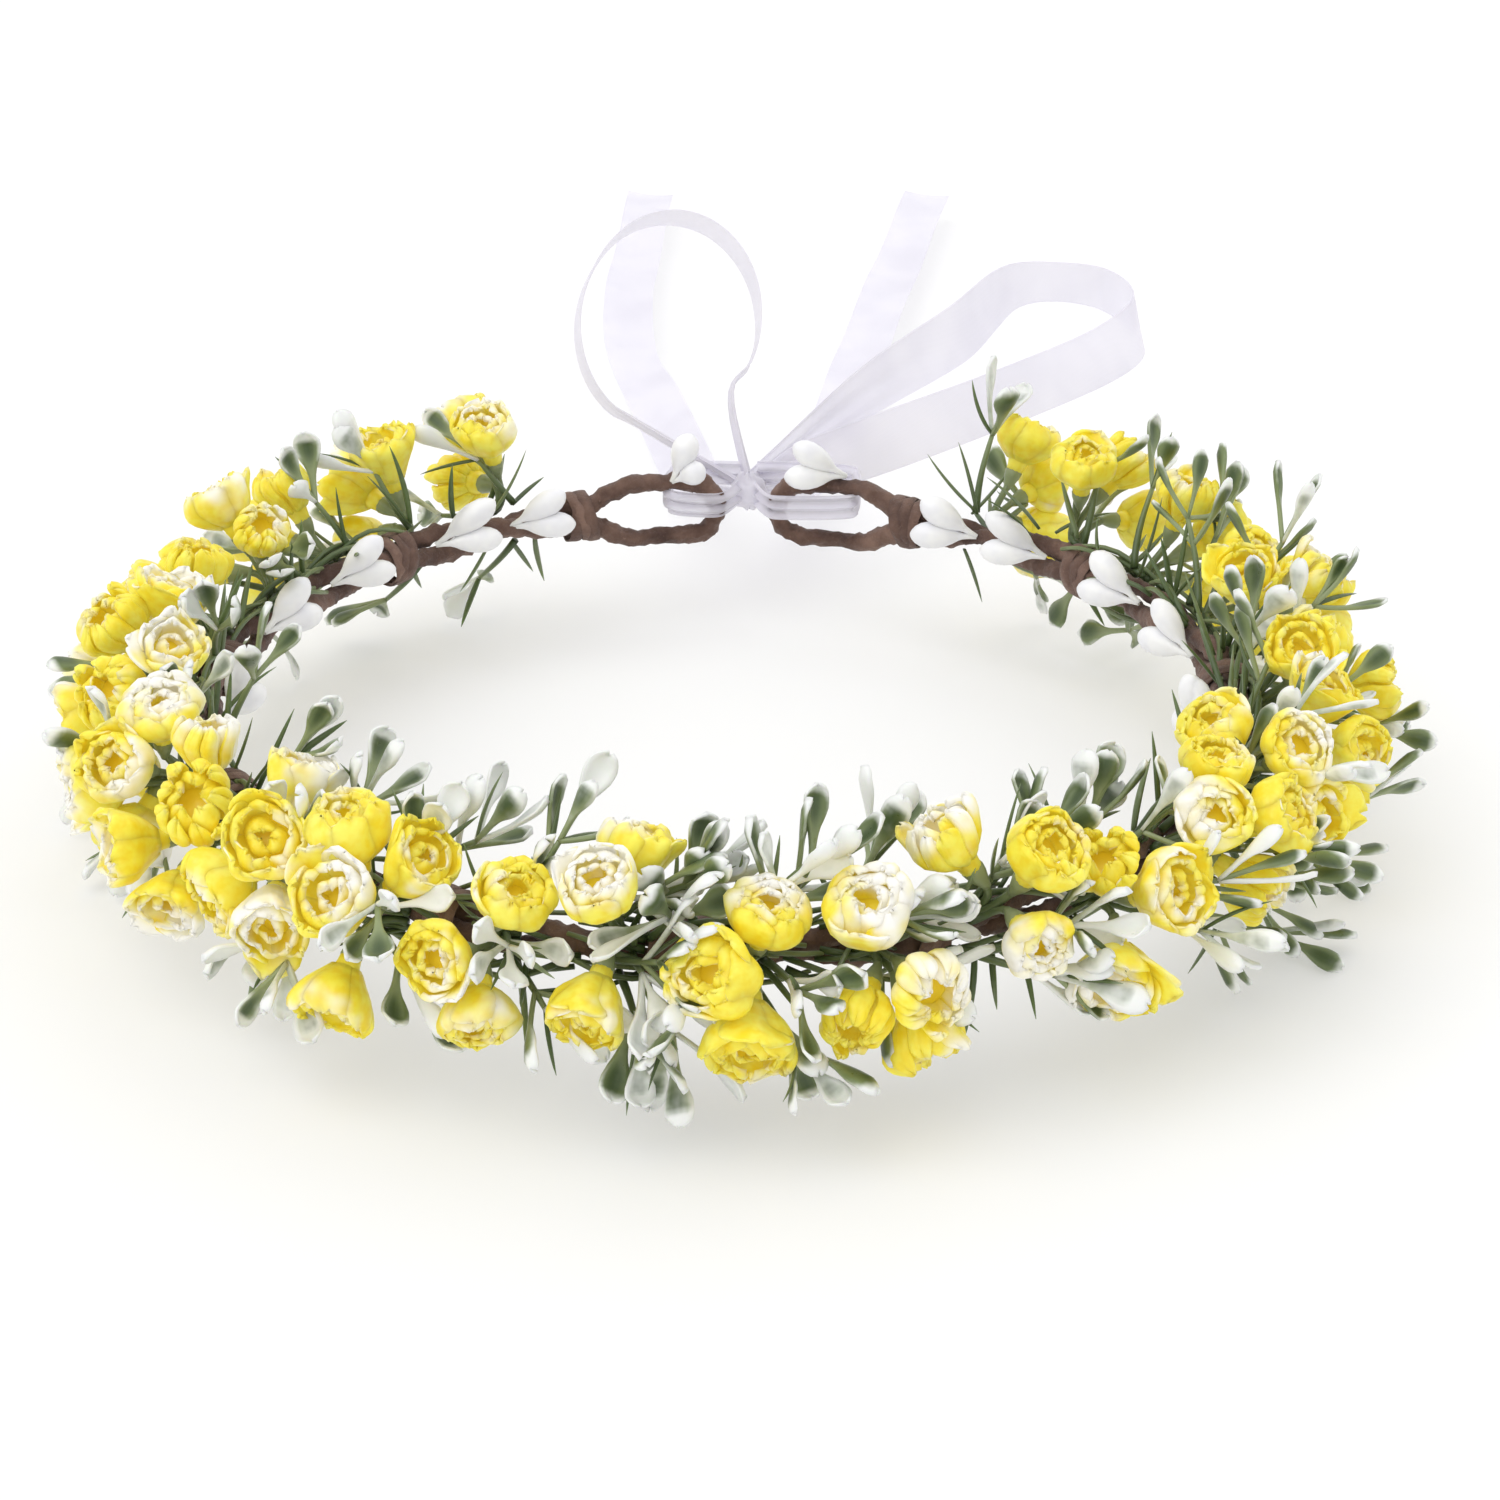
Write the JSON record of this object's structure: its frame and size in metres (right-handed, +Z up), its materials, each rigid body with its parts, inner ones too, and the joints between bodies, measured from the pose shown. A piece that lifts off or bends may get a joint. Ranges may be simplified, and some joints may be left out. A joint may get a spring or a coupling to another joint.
{
  "type": "flower crown",
  "caption": "Open ring of twisted taped wire covered in small artificial florets, leaves and seed pips, tied at the back with a sheer ribbon bow.",
  "frame": {"origin": "centre of the flat inner face of the brow wrap, at the front of the band", "axes": "+Y to the back of the head along the ribbon, +Z up, +X to the right half"},
  "size_m": [0.2358, 0.4746, 0.0712],
  "materials": {
    "steel_wire": "satin",
    "paper_tape": "crinkled brown paper tape",
    "floret_plastic": "satin moulded polyethylene, yellow and cream florets with green stems and leaves",
    "pip_plastic": "satin white",
    "ribbon_fabric": "sheer satin ribbon"
  },
  "bodies": {
    "band_left": {"wire_core_left": "steel_wire", "vine_left": "paper_tape", "wrap_left_1": "paper_tape", "wrap_left_2": "paper_tape", "wrap_left_3": "paper_tape", "wrap_left_4": "paper_tape", "wrap_left_5": "paper_tape", "sprig_left_01": "floret_plastic", "sprig_left_02": "floret_plastic", "sprig_left_03": "floret_plastic", "sprig_left_04": "floret_plastic", "sprig_left_05": "floret_plastic", "sprig_left_06": "floret_plastic", "sprig_left_07": "floret_plastic", "sprig_left_08": "floret_plastic", "sprig_left_09": "floret_plastic", "sprig_left_10": "floret_plastic", "sprig_left_11": "floret_plastic", "pips_left_1": "pip_plastic", "pips_left_2": "pip_plastic", "pips_left_3": "pip_plastic", "pips_left_4": "pip_plastic", "pips_left_5": "pip_plastic", "pips_left_6": "pip_plastic", "brow_wrap": "paper_tape", "ribbon_knot": "ribbon_fabric", "ribbon_strap_left": "ribbon_fabric", "ribbon_strap_right": "ribbon_fabric"},
    "band_right": {"wire_core_right": "steel_wire", "vine_right": "paper_tape", "wrap_right_1": "paper_tape", "wrap_right_2": "paper_tape", "wrap_right_3": "paper_tape", "wrap_right_4": "paper_tape", "wrap_right_5": "paper_tape", "sprig_right_01": "floret_plastic", "sprig_right_02": "floret_plastic", "sprig_right_03": "floret_plastic", "sprig_right_04": "floret_plastic", "sprig_right_05": "floret_plastic", "sprig_right_06": "floret_plastic", "sprig_right_07": "floret_plastic", "sprig_right_08": "floret_plastic", "sprig_right_09": "floret_plastic", "sprig_right_10": "floret_plastic", "sprig_right_11": "floret_plastic", "pips_right_1": "pip_plastic", "pips_right_2": "pip_plastic", "pips_right_3": "pip_plastic", "pips_right_4": "pip_plastic", "pips_right_5": "pip_plastic", "pips_right_6": "pip_plastic"},
    "tail_left": {"ribbon_tail_left": "ribbon_fabric"},
    "tail_right": {"ribbon_tail_right": "ribbon_fabric"},
    "loop_left": {"bow_loop_left": "ribbon_fabric"},
    "loop_right": {"bow_loop_right": "ribbon_fabric"},
    "sprig_left_12": {"sprig_left_12": "floret_plastic"},
    "sprig_left_13": {"sprig_left_13": "floret_plastic"},
    "sprig_right_12": {"sprig_right_12": "floret_plastic"},
    "sprig_right_13": {"sprig_right_13": "floret_plastic"}
  },
  "joints": [
    {"name": "band_flex", "type": "hinge", "parent": "band_left", "child": "band_right", "pos_m": [0, -0.0049, 0], "axis": [0, 0, -1], "range_deg": [0, 3.5], "stiffness_Nm_per_rad": 0.05},
    {"name": "tail_left_swing", "type": "hinge", "parent": "band_left", "child": "tail_left", "pos_m": [0, 0.1836, 0.001], "axis": [0, 0, 1], "range_deg": [-3, 12]},
    {"name": "tail_right_swing", "type": "hinge", "parent": "band_left", "child": "tail_right", "pos_m": [0, 0.1836, 0.001], "axis": [0, 0, -1], "range_deg": [-3, 12]},
    {"name": "loop_left_tilt", "type": "hinge", "parent": "band_left", "child": "loop_left", "pos_m": [0, 0.1806, 0.001], "axis": [1, 0, 0], "range_deg": [-15, 20], "stiffness_Nm_per_rad": 0.01},
    {"name": "loop_right_swing", "type": "hinge", "parent": "band_left", "child": "loop_right", "pos_m": [0, 0.1806, 0.001], "axis": [0, 0, 1], "range_deg": [-8, 6]},
    {"name": "sprig_left_12_bend", "type": "hinge", "parent": "band_left", "child": "sprig_left_12", "pos_m": [-0.06334, 0.15545, 0.00151], "axis": [0.7431, 0.6691, 0], "range_deg": [-12, 12], "stiffness_Nm_per_rad": 0.01},
    {"name": "sprig_left_13_bend", "type": "hinge", "parent": "band_left", "child": "sprig_left_13", "pos_m": [-0.04682, 0.1662, 0.00328], "axis": [0.866, 0.5, 0], "range_deg": [-12, 12], "stiffness_Nm_per_rad": 0.01},
    {"name": "sprig_right_12_bend", "type": "hinge", "parent": "band_right", "child": "sprig_right_12", "pos_m": [0.06266, 0.15469, 0.00328], "axis": [0.7431, -0.6691, 0], "range_deg": [-12, 12], "stiffness_Nm_per_rad": 0.01},
    {"name": "sprig_right_13_bend", "type": "hinge", "parent": "band_right", "child": "sprig_right_13", "pos_m": [0.04741, 0.16722, 0.00085], "axis": [0.866, -0.5, 0], "range_deg": [-12, 12], "stiffness_Nm_per_rad": 0.01}
  ]
}
